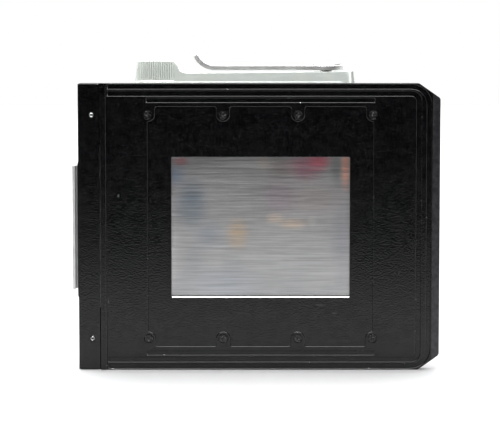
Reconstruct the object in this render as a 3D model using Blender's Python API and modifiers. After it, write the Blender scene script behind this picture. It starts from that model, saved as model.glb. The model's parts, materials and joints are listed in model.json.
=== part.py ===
"""Lever-wind roll film holder on a 4x5 film holder plate.

Lengths are in millimetres and are turned into metres where a mesh is made. X runs to the right as seen
from the lens, Y runs away from the lens, and Z is up. Y = 0 is the face of the plate that seats on the
camera, and Z = 0 is the plate's lower long edge, on which the holder stands.
"""

import math

import bmesh
import bpy
from mathutils import Vector

MM = 0.001

# Fits
GAP = 0.3
HOLE_GAP = 0.3

# Holder plate
PLATE_W = 151.5
PLATE_H = 120.5
PLATE_RIGHT = PLATE_W / 2
PLATE_LEFT = -PLATE_W / 2
MID_Z = PLATE_H / 2
CHAMFER_X = 9.0
CHAMFER_Z = 6.3
FRONT_T = 2.0
RIB_LEFT = -66.4
RIB_RIGHT = -63.8
RIB_H = 0.8
SLOPE_FROM = 72.5
SLOPE_DROP = 0.8
REAR_FRONT = FRONT_T + GAP
REAR_BACK = 6.0
LAND_FRONT = 1.0

# Window, film gate and film plane
GATE_X = 0.65
WINDOW_W = 74.8
WINDOW_H = 58.8
GATE_W = 70.0
GATE_H = 56.0
FILM_Y = 5.0

# Grooves and sunk field of the front plate
GROOVE_DEPTH = 0.6
GROOVE_START = 0.7
OUTER_INSET = 1.5
OUTER_RIGHT = 71.15
OUTER_BEND_R = 7.5
OUTER_W = 1.6
INNER_INSET = 4.35
INNER_RIGHT = 66.9
INNER_BEND_R = 3.2
INNER_W = 1.8
THIRD_INSET = 7.15
THIRD_HALF_W = 47.5
THIRD_W = 1.5
FIELD_DEPTH = 0.5
FIELD_HALF_W = 47.05
FIELD_HALF_H = 50.3
SCREW_PITCH_X = 31.35
SCREW_HALF_Z = 47.05
BOSS_R = 3.0
HEAD_R = 1.65
HEAD_TOP = 0.15
HEAD_T = 0.95
SHANK_R = 0.85
SHANK_END = 8.0
COVER_HEAD_R = 0.85
COVER_SHANK_R = 0.45
COVER_SCREW_X = -70.0
COVER_SCREW_HALF_Z = 47.0

# Dark slide and its light trap
TRAP_LEFT = -73.6
TRAP_RIGHT = -68.4
TRAP_BACK = 5.2
SLIDE_ROOM = 0.5
FILM_HALF_W = 46.0
FILM_HALF_H = 32.0
SLIDE_Y = 2.5
SLIDE_T = 0.5
SLIDE_HALF_H = 34.0
SLIDE_RIGHT = 42.0
CHANNEL_BACK = 3.3
PULL_LEFT = -78.25
PULL_RIGHT = -76.15
PULL_LOW = 34.0
PULL_HIGH = 86.0
PULL_DEPTH = 12.5

# Magazine body
BODY_HALF_W = 66.0
BODY_LEFT = GATE_X - BODY_HALF_W
BODY_RIGHT = GATE_X + BODY_HALF_W
BODY_FRONT = REAR_BACK + GAP
BODY_BACK = 37.5
BODY_LOW = 8.75
BODY_HIGH = 111.75
BODY_BACK_R = 9.0
BODY_FRONT_R = 2.0
DOOR_SEAT = 27.0
DOOR_LOW = 19.6
DOOR_HIGH = 101.2
CHAMBER_HALF_W = 64.0
CHAMBER_HALF_H = 33.5
CHAMBER_LOW = MID_Z - CHAMBER_HALF_H
CHAMBER_HIGH = MID_Z + CHAMBER_HALF_H
ROOM_LOW = 96.0
ROOM_BACK_LOW = 105.2
ROOM_LEFT = -50.0
ROOM_RIGHT = 63.0
ROOM_FRONT = 8.5
ROOM_BACK = 35.5
ROOM_STEP = 26.0
COVER_T = 1.35
BASE_LOW = 11.0
BASE_STEP = 17.2
BASE_HIGH = 24.5

# Film path
SPOOL_Y = 22.0
TAKEUP_X = GATE_X + 50.0
SUPPLY_X = GATE_X - 50.0
SPOOL_HALF_H = 32.9
FLANGE_R = 12.4
FLANGE_T = 1.2
CORE_R = 5.8
ROLLER_X = 41.5
ROLLER_Y = 8.2
ROLLER_R = 2.9

# Gears: one millimetre module
LEVER_TEETH = 24
TAKEUP_TEETH = 20
RATCHET_TEETH = 24
RATCHET_R = 7.5
RATCHET_ROOT_R = 6.6
RATCHET_LOW = 108.3
RATCHET_HIGH = 109.4
SHAFT_BORE_R = 3.3
MODULE = 1.0
GEAR_LOW = 105.5
GEAR_T = 2.5
HUB_X = TAKEUP_X - MODULE * (LEVER_TEETH + TAKEUP_TEETH) / 2
HUB_Y = SPOOL_Y

# Winding housing and lever
HOUSING_FRONT = 15.0
HOUSING_BACK = 37.5
HOUSING_MID_Y = (HOUSING_FRONT + HOUSING_BACK) / 2
SKIM = 0.02
HOUSING_LOW = BODY_HIGH + GAP
HOUSING_LEFT = -53.3
HOUSING_RIGHT = 41.2
DECK_LEFT_Z = 124.6
DECK_RIGHT_Z = 125.2
BLOCK_HIGH = 129.3
BLOCK_RIGHT = -35.8
BLOCK_CORNER_R = 6.0
DECK_CORNER_R = 4.5
FLUTE_PITCH = 1.15
FLUTE_DEPTH = 0.42
FLANK_R = 4.1
HOUSING_BEVEL = 0.4
HOUSING_WALL = 2.2
DECK_T = 2.0
LEVER_LOW = 125.6
LEVER_T = 2.0
LEVER_CURL_X = -18.5
LEVER_CURL_R = 10.5
LEVER_CURL_ANGLE = math.radians(64)
HUB_R = 7.2
SHAFT_R = 2.5

# Release button and counter
BUTTON_X = 16.0
BUTTON_Z = 117.5
COUNTER_X = -44.2
COUNTER_Y = 26.5
DIAL_R = 5.9
DIAL_LOW = 125.6
DIAL_T = 0.7

# Door hinge, latch and pawl
KNUCKLE_R = 1.9
HINGE_X = BODY_LEFT - KNUCKLE_R - GAP
HINGE_Y = 27.15
HINGE_BORE_R = 1.25
KNUCKLE_LOWS = (22.0, 86.5)
KNUCKLE_H = 12.0
LATCH_X = 50.0
PAWL_X = 40.0
PAWL_Y = 13.6

# The box of the whole holder is centred on X = 0 and Y = 0
BACK_MOST = 39.4
OFFSET = Vector((-(PULL_LEFT + PLATE_RIGHT) / 2, -(BACK_MOST - RIB_H) / 2, 0.0))

for old in list(bpy.data.objects):
    bpy.data.objects.remove(old, do_unlink=True)

parts = bpy.data.collections.new("roll_film_holder")
cutters = bpy.data.collections.new("cutters")
bpy.context.scene.collection.children.link(parts)
bpy.context.scene.collection.children.link(cutters)

holder = bpy.data.objects.new("holder_origin", None)
holder.location = OFFSET * MM
parts.objects.link(holder)


# Materials


def finish(name, colour, roughness, metallic=0.0):
    material = bpy.data.materials.new(name)
    material.use_nodes = True
    shader = material.node_tree.nodes["Principled BSDF"]
    shader.inputs["Base Color"].default_value = (*colour, 1.0)
    shader.inputs["Roughness"].default_value = roughness
    shader.inputs["Metallic"].default_value = metallic
    return material


WRINKLE = finish("black_wrinkle_lacquer", (0.012, 0.012, 0.014), 0.45)
BLACKED = finish("blackened_steel", (0.03, 0.03, 0.032), 0.35, 0.8)
STEEL = finish("brushed_steel", (0.42, 0.42, 0.43), 0.3, 1.0)
CAST = finish("silver_casting", (0.56, 0.6, 0.56), 0.4, 0.6)
CHROME = finish("satin_chrome", (0.72, 0.72, 0.74), 0.2, 1.0)
ALUMINIUM = finish("satin_aluminium", (0.84, 0.84, 0.83), 0.4, 0.5)
BRASS = finish("gear_brass", (0.6, 0.42, 0.16), 0.35, 1.0)
FELT = finish("black_felt", (0.01, 0.01, 0.01), 0.95)
LEATHER = finish("black_leatherette", (0.02, 0.02, 0.02), 0.6)
PLASTIC = finish("black_plastic", (0.02, 0.02, 0.022), 0.4)
DIAL = finish("dial_white", (0.75, 0.75, 0.72), 0.5)
CLEAR = finish("clear_window", (0.85, 0.88, 0.9), 0.08)


# Outlines, as lists of (u, v) points


def arc(centre, radius, start, end, steps):
    """Points on an arc, angles in degrees."""
    angles = [math.radians(start + (end - start) * i / steps) for i in range(steps + 1)]
    return [(centre[0] + radius * math.cos(a), centre[1] + radius * math.sin(a)) for a in angles]


def rounded(points, radii, steps=4):
    """A closed outline whose corners are rounded, each by its own radius."""
    result = []
    for i, point in enumerate(points):
        corner = Vector(point)
        before = (Vector(points[i - 1]) - corner).normalized()
        after = (Vector(points[(i + 1) % len(points)]) - corner).normalized()
        radius = radii[i]
        if radius <= 0:
            result.append(tuple(corner))
            continue
        half = before.angle(after) / 2
        inward = (before + after).normalized()
        centre = corner + inward * radius / math.sin(half)
        first = corner + before * radius / math.tan(half) - centre
        last = corner + after * radius / math.tan(half) - centre
        turn = first.angle_signed(last)
        start = math.atan2(first.y, first.x)
        for k in range(steps + 1):
            angle = start - turn * k / steps
            result.append((centre.x + radius * math.cos(angle), centre.y + radius * math.sin(angle)))
    return result


def rectangle(low, high, radius=0.0, steps=4):
    """A closed rectangle, its corners rounded where radius is over 0."""
    corners = [(low[0], low[1]), (high[0], low[1]), (high[0], high[1]), (low[0], high[1])]
    return rounded(corners, [radius] * 4, steps)


def circle(centre, radius, steps=24):
    return arc(centre, radius, 0, 360, steps)[:-1]


def ribbon(path, width):
    """The outline of a band of even width along an open path."""
    sides = ([], [])
    for i, point in enumerate(path):
        ahead = Vector(path[min(i + 1, len(path) - 1)]) - Vector(path[max(i - 1, 0)])
        normal = Vector((-ahead.y, ahead.x)).normalized() * width / 2
        sides[0].append((point[0] + normal.x, point[1] + normal.y))
        sides[1].append((point[0] - normal.x, point[1] - normal.y))
    return sides[0] + sides[1][::-1]


def involute(angle):
    return math.tan(angle) - angle


def gear_outline(centre, teeth, turned=0.0, flank_points=2):
    """An involute spur gear with GAP of room on each flank; turned is in degrees."""
    pitch_r = MODULE * teeth / 2
    base_r = pitch_r * math.cos(math.radians(20))
    tip_r = pitch_r + MODULE
    root_r = pitch_r - 1.35 * MODULE
    half_tooth = math.pi / (2 * teeth) - GAP / (2 * pitch_r) + involute(math.radians(20))
    radii = [base_r + (tip_r - base_r) * i / flank_points for i in range(flank_points + 1)]
    flank = [(root_r, half_tooth)]
    flank += [(r, half_tooth - involute(math.acos(base_r / r))) for r in radii]
    points = []
    for tooth in range(teeth):
        middle = math.radians(turned) + 2 * math.pi * tooth / teeth
        profile = [(r, middle - a) for r, a in flank] + [(r, middle + a) for r, a in reversed(flank)]
        points += [(centre[0] + r * math.cos(a), centre[1] + r * math.sin(a)) for r, a in profile]
    return points


def ratchet_outline(centre, teeth, outer, inner):
    """A wheel with one steep and one sloping side to each tooth."""
    points = []
    for tooth in range(teeth):
        angle = 2 * math.pi * tooth / teeth
        for radius, part in ((outer, 0.0), (inner, 0.12)):
            turn = angle + part * 2 * math.pi / teeth
            points.append((centre[0] + radius * math.cos(turn), centre[1] + radius * math.sin(turn)))
    return points


# Solids, as closed meshes in metres


def along(facing, u, v, w):
    """A point of an outline, seen along the axis it is extruded on."""
    if facing == "X":
        return Vector((w, u, v))
    if facing == "Y":
        return Vector((u, w, v))
    return Vector((u, v, w))


def slab(facing, outline, low, high, holes=()):
    """A flat outline given thickness from low to high along its facing axis."""
    curve = bpy.data.curves.new("outline", "CURVE")
    curve.dimensions = "2D"
    curve.fill_mode = "BOTH"
    curve.extrude = (high - low) / 2
    for loop in (outline, *holes):
        spline = curve.splines.new("POLY")
        spline.points.add(len(loop) - 1)
        for knot, (u, v) in zip(spline.points, loop):
            knot.co = (u, v, 0.0, 1.0)
        spline.use_cyclic_u = True
    shape = bpy.data.objects.new("outline", curve)
    bpy.context.scene.collection.objects.link(shape)
    graph = bpy.context.evaluated_depsgraph_get()
    mesh = bpy.data.meshes.new_from_object(shape.evaluated_get(graph))
    solid = bmesh.new()
    solid.from_mesh(mesh)
    bpy.data.objects.remove(shape, do_unlink=True)
    bmesh.ops.remove_doubles(solid, verts=solid.verts, dist=0.001)
    middle = (low + high) / 2
    for vert in solid.verts:
        vert.co = along(facing, vert.co.x, vert.co.y, vert.co.z + middle) * MM
    return facing_out(solid)


def facing_out(solid):
    """Turns every face outward."""
    bmesh.ops.recalc_face_normals(solid, faces=solid.faces)
    if solid.calc_volume(signed=True) < 0:
        bmesh.ops.reverse_faces(solid, faces=solid.faces)
    return solid


def box(low, high):
    """A rectangular block between two corners."""
    solid = bmesh.new()
    bmesh.ops.create_cube(solid, size=1.0)
    low, high = Vector(low), Vector(high)
    middle, size = (low + high) / 2, high - low
    for vert in solid.verts:
        vert.co = Vector([(middle[i] + vert.co[i] * size[i]) * MM for i in range(3)])
    return solid


def rod(facing, centre, radius, low, high, end_radius=None, steps=24):
    """A round bar, or a cone, along an axis; centre is where the axis is crossed."""
    solid = bmesh.new()
    top = radius if end_radius is None else end_radius
    bmesh.ops.create_cone(
        solid, cap_ends=True, segments=steps, radius1=radius * MM, radius2=top * MM, depth=(high - low) * MM
    )
    middle = (low + high) / 2 * MM
    for vert in solid.verts:
        u, v, w = centre[0] * MM + vert.co.x, centre[1] * MM + vert.co.y, middle + vert.co.z
        vert.co = along(facing, u, v, w)
    return facing_out(solid)


def merged(*solids):
    """Several solids that stay apart, in one mesh."""
    result = bmesh.new()
    for solid in solids:
        mesh = bpy.data.meshes.new("piece")
        solid.to_mesh(mesh)
        result.from_mesh(mesh)
        solid.free()
        bpy.data.meshes.remove(mesh)
    return result


def soften(solid, width, chosen, steps=1):
    """Rounds the sharp edges whose middle point, in millimetres, is chosen."""
    bmesh.ops.dissolve_limit(solid, angle_limit=math.radians(0.5), verts=solid.verts, edges=solid.edges)
    edges = []
    for edge in solid.edges:
        middle = (edge.verts[0].co + edge.verts[1].co) / 2 / MM
        if edge.calc_face_angle(0.0) > math.radians(50) and chosen(middle):
            edges.append(edge)
    bmesh.ops.bevel(solid, geom=edges, offset=width * MM, segments=steps, affect="EDGES", profile=0.5)
    return solid


# Objects


def place(name, data, material, origin, parent):
    """Puts a mesh or curve in the scene as one part, its origin at a point of the holder's frame."""
    item = bpy.data.objects.new(name, data)
    parts.objects.link(item)
    data.materials.append(material)
    parent_origin = Vector(parent["origin_mm"]) if parent else Vector((0, 0, 0))
    item.parent = parent or holder
    item.location = (Vector(origin) - parent_origin) * MM
    item["origin_mm"] = tuple(origin)
    return item


def part(name, solid, material, origin=(0, 0, 0), parent=None, smooth=0):
    """One piece from a closed mesh; smooth is the angle below which its edges shade smooth."""
    for vert in solid.verts:
        vert.co -= Vector(origin) * MM
    mesh = bpy.data.meshes.new(name)
    solid.to_mesh(mesh)
    solid.free()
    if smooth:
        mesh.shade_smooth()
        mesh.set_sharp_from_angle(angle=math.radians(smooth))
    return place(name, mesh, material, origin, parent)


def turned(name, profile, centre, material, parent=None, steps=32):
    """A piece turned about a vertical axis; the profile's (radius, height) points run down its side."""
    mesh = bpy.data.meshes.new(name)
    points = [(radius * MM, 0.0, height * MM) for radius, height in profile]
    mesh.from_pydata(points, [(i, i + 1) for i in range(len(points) - 1)], [])
    item = place(name, mesh, material, (centre[0], centre[1], 0.0), parent)
    screw = item.modifiers.new("turn", "SCREW")
    screw.axis = "Z"
    screw.steps = steps
    screw.render_steps = steps
    screw.use_merge_vertices = True
    screw.merge_threshold = 0.001 * MM
    screw.use_smooth_shade = False
    return item


def coil(name, centre, radius, wire, low, high, turns, material, parent=None):
    """A round wire spring about a vertical axis."""
    curve = bpy.data.curves.new(name, "CURVE")
    curve.dimensions = "3D"
    curve.bevel_depth = wire * MM
    curve.bevel_resolution = 0
    curve.use_fill_caps = True
    per_turn = 10
    count = int(turns * per_turn)
    spline = curve.splines.new("POLY")
    spline.points.add(count)
    for i, knot in enumerate(spline.points):
        angle = 2 * math.pi * i / per_turn
        height = (low + (high - low) * i / count) * MM
        knot.co = (radius * MM * math.cos(angle), radius * MM * math.sin(angle), height, 1.0)
    return place(name, curve, material, (centre[0], centre[1], 0.0), parent)


def cutter_of(name, solid, origin):
    """A hidden solid that changes another one, its origin at a point of the holder's frame."""
    for vert in solid.verts:
        vert.co -= Vector(origin) * MM
    mesh = bpy.data.meshes.new(name)
    solid.to_mesh(mesh)
    solid.free()
    cutter = bpy.data.objects.new(name, mesh)
    cutters.objects.link(cutter)
    cutter.parent = holder
    cutter.location = Vector(origin) * MM
    cutter.hide_render = True
    cutter.display_type = "WIRE"
    return cutter


def change(item, cutter, operation):
    boolean = item.modifiers.new(operation.lower(), "BOOLEAN")
    boolean.operation = operation
    boolean.object = cutter


def cut(item, solid):
    """Takes a solid off a part."""
    cutter = cutter_of(f"{item.name}_cut", solid, item["origin_mm"])
    change(item, cutter, "DIFFERENCE")
    return cutter


def keep(item, solid):
    """Takes off a part all that lies outside a solid."""
    change(item, cutter_of(f"{item.name}_limit", solid, item["origin_mm"]), "INTERSECT")


def join(item, solid):
    """Adds a solid to a part."""
    change(item, cutter_of(f"{item.name}_joined", solid, item["origin_mm"]), "UNION")


def screw_places():
    """The (x, z) of the eight face screws."""
    columns = [GATE_X + SCREW_PITCH_X * (i - 1.5) for i in range(4)]
    return [(x, MID_Z + side * SCREW_HALF_Z) for side in (1, -1) for x in columns]


def shank_holes(front, back):
    """Clearance for the eight face screws' shanks."""
    return merged(*[rod("Y", spot, SHANK_R + HOLE_GAP, front, back, steps=8) for spot in screw_places()])


def plate_outline(left, left_radius):
    """The holder plate, cut off at its two right corners."""
    points = [
        (left, 0.0),
        (PLATE_RIGHT - CHAMFER_X, 0.0),
        (PLATE_RIGHT, CHAMFER_Z),
        (PLATE_RIGHT, PLATE_H - CHAMFER_Z),
        (PLATE_RIGHT - CHAMFER_X, PLATE_H),
        (left, PLATE_H),
    ]
    return rounded(points, [left_radius, 1.5, 1.5, 1.5, 1.5, left_radius], 3)


def boss_outline(x, z):
    """A tab that runs in from the edge of the sunk field, flared at its root and round about its screw."""
    side = 1 if z > MID_Z else -1
    flare = 0.8
    root = MID_Z + side * (FIELD_HALF_H - flare)
    right = [(u, root + side * v) for u, v in arc((x + BOSS_R + flare, 0), flare, 180, 90, 3)]
    left = [(2 * x - u, v) for u, v in reversed(right)]
    beyond = root + side * 3.0
    tip = [(x + u, z - side * v) for u, v in arc((0, 0), BOSS_R, 180, 0, 12)]
    return tip + right + [(right[-1][0], beyond), (left[0][0], beyond)] + left


def groove_path(inset, right, radius):
    """A groove's middle line: along the top, down the right side and back along the bottom."""
    low, high = inset, PLATE_H - inset
    start = RIB_RIGHT + GROOVE_START
    top = arc((right - radius, high - radius), radius, 90, 0, 6)
    bottom = arc((right - radius, low + radius), radius, 0, -90, 6)
    return [(start, high), *top, *bottom, (start, low)]


# Holder plate


def make_front_plate():
    solid = slab("Y", plate_outline(RIB_LEFT, 0.0), -RIB_H, FRONT_T)
    plate = part("front_plate", solid, WRINKLE)
    cut(plate, box((RIB_RIGHT, -3, -1), (PLATE_RIGHT + 1, 0, PLATE_H + 1)))
    slope = [(SLOPE_FROM, 0.0), (SLOPE_FROM, -1.0), (PLATE_RIGHT + 1, -1.0), (PLATE_RIGHT + 1, SLOPE_DROP)]
    cut(plate, slab("Z", slope, -1, PLATE_H + 1))
    window_low = (GATE_X - WINDOW_W / 2, MID_Z - WINDOW_H / 2)
    window_high = (GATE_X + WINDOW_W / 2, MID_Z + WINDOW_H / 2)
    cut(plate, slab("Y", rectangle(window_low, window_high, 0.6, 2), -1, FRONT_T + 1))
    field_low = (GATE_X - FIELD_HALF_W, MID_Z - FIELD_HALF_H)
    field_high = (GATE_X + FIELD_HALF_W, MID_Z + FIELD_HALF_H)
    field = slab("Y", rectangle(field_low, field_high, 1.0, 2), -1, FIELD_DEPTH)
    field_cutter = cut(plate, field)
    bosses = merged(*[slab("Y", boss_outline(*spot), -2, 1) for spot in screw_places()])
    change(field_cutter, cutter_of("screw_bosses", bosses, (0, 0, 0)), "DIFFERENCE")
    outer = slab("Y", ribbon(groove_path(OUTER_INSET, OUTER_RIGHT, OUTER_BEND_R), OUTER_W), -1, GROOVE_DEPTH)
    inner = slab("Y", ribbon(groove_path(INNER_INSET, INNER_RIGHT, INNER_BEND_R), INNER_W), -1, GROOVE_DEPTH)
    span = (GATE_X - THIRD_HALF_W, GATE_X + THIRD_HALF_W)
    third = []
    for z in (THIRD_INSET, PLATE_H - THIRD_INSET):
        third.append(box((span[0], -1, z - THIRD_W / 2), (span[1], GROOVE_DEPTH, z + THIRD_W / 2)))
    cut(plate, merged(outer, inner, *third))
    seat_back = HEAD_TOP + HEAD_T + GAP
    seats = [rod("Y", spot, HEAD_R + HOLE_GAP, -1, seat_back, steps=16) for spot in screw_places()]
    cut(plate, merged(*seats))
    cut(plate, shank_holes(0.9, FRONT_T + 1))
    return plate


def make_rear_plate():
    plate = part("rear_plate", slab("Y", plate_outline(PLATE_LEFT, 1.0), LAND_FRONT, REAR_BACK), WRINKLE)
    cut(plate, box((RIB_LEFT - GAP / 2, -1, -1), (PLATE_RIGHT + 1, REAR_FRONT, PLATE_H + 1)))
    channel_low = (PLATE_LEFT - 1, -1, MID_Z - SLIDE_HALF_H - SLIDE_ROOM)
    channel_high = (SLIDE_RIGHT + GAP + SLIDE_ROOM, CHANNEL_BACK, MID_Z + SLIDE_HALF_H + SLIDE_ROOM)
    cut(plate, box(channel_low, channel_high))
    gate_low = (GATE_X - GATE_W / 2, MID_Z - GATE_H / 2)
    gate_high = (GATE_X + GATE_W / 2, MID_Z + GATE_H / 2)
    cut(plate, slab("Y", rectangle(gate_low, gate_high, 1.5, 3), 2, REAR_BACK + 1))
    film_low = (GATE_X - FILM_HALF_W, FILM_Y, MID_Z - FILM_HALF_H)
    film_high = (GATE_X + FILM_HALF_W, REAR_BACK + 1, MID_Z + FILM_HALF_H)
    trap_low = (TRAP_LEFT, FRONT_T, MID_Z - SLIDE_HALF_H - SLIDE_ROOM)
    trap_high = (TRAP_RIGHT, TRAP_BACK, MID_Z + SLIDE_HALF_H + SLIDE_ROOM)
    cut(plate, merged(box(film_low, film_high), box(trap_low, trap_high)))
    cut(plate, shank_holes(1, REAR_BACK + 1))
    holes = [rod("Y", spot, COVER_SHANK_R + HOLE_GAP, 0, 4, steps=12) for spot in cover_screw_places()]
    cut(plate, merged(*holes))
    return plate


def cover_screw_places():
    return [(COVER_SCREW_X, MID_Z + side * COVER_SCREW_HALF_Z) for side in (1, -1)]


def make_slide_cover():
    """The thin strip over the slide's slot. Its edge stands out a little where the pull lies."""
    left, right = PLATE_LEFT + 0.1, RIB_LEFT - GAP
    points = [(right, 0.3), (right, PLATE_H - 0.3), (left, PLATE_H - 0.3)]
    points += [(left, PULL_HIGH + 1.8), (left - 0.35, PULL_HIGH + 0.6)]
    points += [(left - 0.35, PULL_LOW - 2.4), (left, PULL_LOW - 3.6), (left, 0.3)]
    solid = slab("Y", points, 0.1, LAND_FRONT - GAP)
    cover = part("slide_cover", solid, WRINKLE)
    holes = [rod("Y", spot, COVER_HEAD_R + HOLE_GAP, -1, 2, steps=16) for spot in cover_screw_places()]
    cut(cover, merged(*holes))


def make_cover_screws():
    for index, (x, z) in enumerate(cover_screw_places()):
        head = rod("Y", (x, z), COVER_HEAD_R, -0.05, LAND_FRONT - GAP, steps=16)
        screw = part(f"cover_screw_{index + 1}", head, CHROME, smooth=40)
        join(screw, rod("Y", (x, z), COVER_SHANK_R, LAND_FRONT - 2 * GAP, 3.4, steps=10))
        cut(screw, box((x - 2, -1, z - 0.15), (x + 2, 0.2, z + 0.15)))


def make_face_screws():
    """Eight cross-recess screws that hold both plates to the magazine body."""
    head_back = HEAD_TOP + HEAD_T
    head = rod("Y", (0, 0), HEAD_R, HEAD_TOP, head_back, steps=16)
    first = part("face_screw_1", head, BLACKED, smooth=40)
    join(first, rod("Y", (0, 0), SHANK_R, head_back - 0.2, SHANK_END, steps=8))
    for half_w, half_h in ((0.95, 0.21), (0.21, 0.95)):
        cut(first, box((-half_w, HEAD_TOP - 0.5, -half_h), (half_w, HEAD_TOP + 0.55, half_h)))
    graph = bpy.context.evaluated_depsgraph_get()
    mesh = bpy.data.meshes.new_from_object(first.evaluated_get(graph))
    first.modifiers.clear()
    first.data = mesh
    for index, (x, z) in enumerate(screw_places()):
        item = first
        if index:
            item = place(f"face_screw_{index + 1}", mesh.copy(), BLACKED, (0, 0, 0), None)
        item.location = Vector((x, 0, z)) * MM


def make_dark_slide():
    low = (PULL_RIGHT + GAP, SLIDE_Y, MID_Z - SLIDE_HALF_H)
    outline = rectangle((low[0], low[2]), (SLIDE_RIGHT, MID_Z + SLIDE_HALF_H), 1.5, 2)
    slide = part("dark_slide", slab("Y", outline, SLIDE_Y, SLIDE_Y + SLIDE_T), STEEL)
    inner = PULL_RIGHT
    wall = 0.85
    hem = [
        (PULL_LEFT, 1.4),
        (PULL_LEFT, PULL_DEPTH),
        (PULL_LEFT + 0.4, PULL_DEPTH + 0.5),
        (inner - 0.4, PULL_DEPTH + 0.5),
        (inner, PULL_DEPTH),
        (inner, 4.2),
        (inner - 0.9, 4.2),
        (inner - 0.9, 1.4),
    ]
    pull = part("slide_pull", slab("Z", hem, PULL_LOW, PULL_HIGH), ALUMINIUM, parent=slide)
    seam = PULL_LEFT + wall
    cut(pull, box((seam + 0.15, 4.9, PULL_LOW - 1), (seam + 0.4, PULL_DEPTH - 0.6, PULL_HIGH + 1)))
    for z, turn in ((PULL_LOW, 1), (PULL_HIGH, -1)):
        near, far = PULL_DEPTH - 2.0, PULL_DEPTH + 2.0
        corner = [(near, z - turn), (far, z - turn), (far, z + turn * 3.0)]
        cut(pull, slab("X", corner, PULL_LEFT - 1, PULL_RIGHT + 1))
    return slide


def make_light_trap():
    low, high = MID_Z - SLIDE_HALF_H + 0.3, MID_Z + SLIDE_HALF_H - 0.3
    part("trap_felt_front", box((-74.6, LAND_FRONT, low), (-68.0, SLIDE_Y - GAP, high)), FELT)
    rear_low = (TRAP_LEFT + GAP, SLIDE_Y + SLIDE_T + GAP, low)
    part("trap_felt_rear", box(rear_low, (TRAP_RIGHT - GAP, TRAP_BACK - 1.0, high)), FELT)
    ends = TRAP_BACK - 0.25
    bow = ribbon([(TRAP_LEFT + 0.5, ends), (-71.0, ends - 0.25), (TRAP_RIGHT - 0.5, ends)], 0.2)
    part("trap_spring", slab("Z", bow, low + 3, high - 3), BLACKED)


# Magazine body and door


def body_plan(front, front_radius):
    """The magazine from above, from a front line to its rounded back corners."""
    corners = [(BODY_LEFT, front), (BODY_RIGHT, front), (BODY_RIGHT, BODY_BACK), (BODY_LEFT, BODY_BACK)]
    return rounded(corners, [front_radius, front_radius, BODY_BACK_R, BODY_BACK_R], 6)


def make_magazine_body():
    side = [
        (BODY_FRONT, BODY_LOW),
        (BODY_BACK, BODY_LOW),
        (BODY_BACK, DOOR_LOW - GAP),
        (DOOR_SEAT, DOOR_LOW - GAP),
        (DOOR_SEAT, DOOR_HIGH + GAP),
        (BODY_BACK, DOOR_HIGH + GAP),
        (BODY_BACK, BODY_HIGH),
        (BODY_FRONT, BODY_HIGH),
    ]
    outline = rounded(side, [1.0, 2.5, 0, 0, 0, 0, 2.5, 1.0], 3)
    body = part("magazine_body", slab("X", outline, BODY_LEFT - 1, BODY_RIGHT + 1), WRINKLE)
    keep(body, slab("Z", body_plan(BODY_FRONT, BODY_FRONT_R), BODY_LOW - 1, BODY_HIGH + 1))
    knuckles = []
    for low in KNUCKLE_LOWS:
        knuckles.append(rod("Z", (HINGE_X, HINGE_Y), KNUCKLE_R, low, low + KNUCKLE_H, steps=20))
        knuckles.append(box((HINGE_X, 24.9, low), (BODY_LEFT + 0.5, DOOR_SEAT - 0.1, low + KNUCKLE_H)))
    for knuckle in knuckles:
        join(body, knuckle)
    chamber_low = (GATE_X - CHAMBER_HALF_W, BODY_FRONT - 1, CHAMBER_LOW)
    chamber_high = (GATE_X + CHAMBER_HALF_W, DOOR_SEAT + 1, CHAMBER_HIGH)
    cut(body, box(chamber_low, chamber_high))
    room_side = [
        (ROOM_FRONT, ROOM_LOW),
        (ROOM_STEP, ROOM_LOW),
        (ROOM_STEP, ROOM_BACK_LOW),
        (ROOM_BACK, ROOM_BACK_LOW),
        (ROOM_BACK, BODY_HIGH + 1),
        (ROOM_FRONT, BODY_HIGH + 1),
    ]
    cut(body, slab("X", room_side, ROOM_LEFT, ROOM_RIGHT))
    cut(body, box((ROOM_LEFT - 1.4, ROOM_FRONT - 0.9, BODY_HIGH - COVER_T - GAP), cover_corner(GAP)))
    base_side = [(ROOM_FRONT, BASE_LOW), (ROOM_BACK, BASE_LOW), (ROOM_BACK, BASE_STEP)]
    base_side += [(ROOM_STEP, BASE_STEP), (ROOM_STEP, BASE_HIGH), (ROOM_FRONT, BASE_HIGH)]
    cut(body, slab("X", base_side, ROOM_LEFT - 10, ROOM_RIGHT))
    bores = []
    for low in KNUCKLE_LOWS:
        bores.append(rod("Z", (HINGE_X, HINGE_Y), HINGE_BORE_R, low - 1, low + KNUCKLE_H + 1, steps=16))
    bores += [rod("Z", (TAKEUP_X, SPOOL_Y), 3.3, 92, 97, steps=24)]
    bores += [rod("Z", (SUPPLY_X, SPOOL_Y), 2.3, 92, 95, steps=16)]
    cut(body, merged(*bores))
    for x in (SUPPLY_X, TAKEUP_X):
        lower = rod("Z", (x, SPOOL_Y), 2.6, 7, 12, steps=16)
        upper = rod("Z", (x, SPOOL_Y), 3.1, 23, 28, steps=16)
        cut(body, merged(lower, upper))
    pivots = []
    for side_x in (-ROLLER_X, ROLLER_X):
        for low in (CHAMBER_LOW - 1.6, CHAMBER_HIGH - 1.0):
            pivots.append(rod("Z", (GATE_X + side_x, ROLLER_Y), 1.3, low, low + 2.6, steps=12))
    cut(body, merged(*pivots))
    cut(body, shank_holes(5, SHANK_END + GAP))
    pocket_low = (LATCH_X - 2.5, 30.5, DOOR_HIGH - 1)
    pocket_high = (LATCH_X + 2.5, 34.5, DOOR_HIGH + 2.8)
    seals = []
    for z in (CHAMBER_LOW - 4.4, CHAMBER_HIGH + 1.6):
        seals.append(box((GATE_X - 61, 25.6, z), (GATE_X + 61, DOOR_SEAT + 1, z + 2.8)))
    cut(body, merged(box(pocket_low, pocket_high), *seals))
    return body


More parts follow.
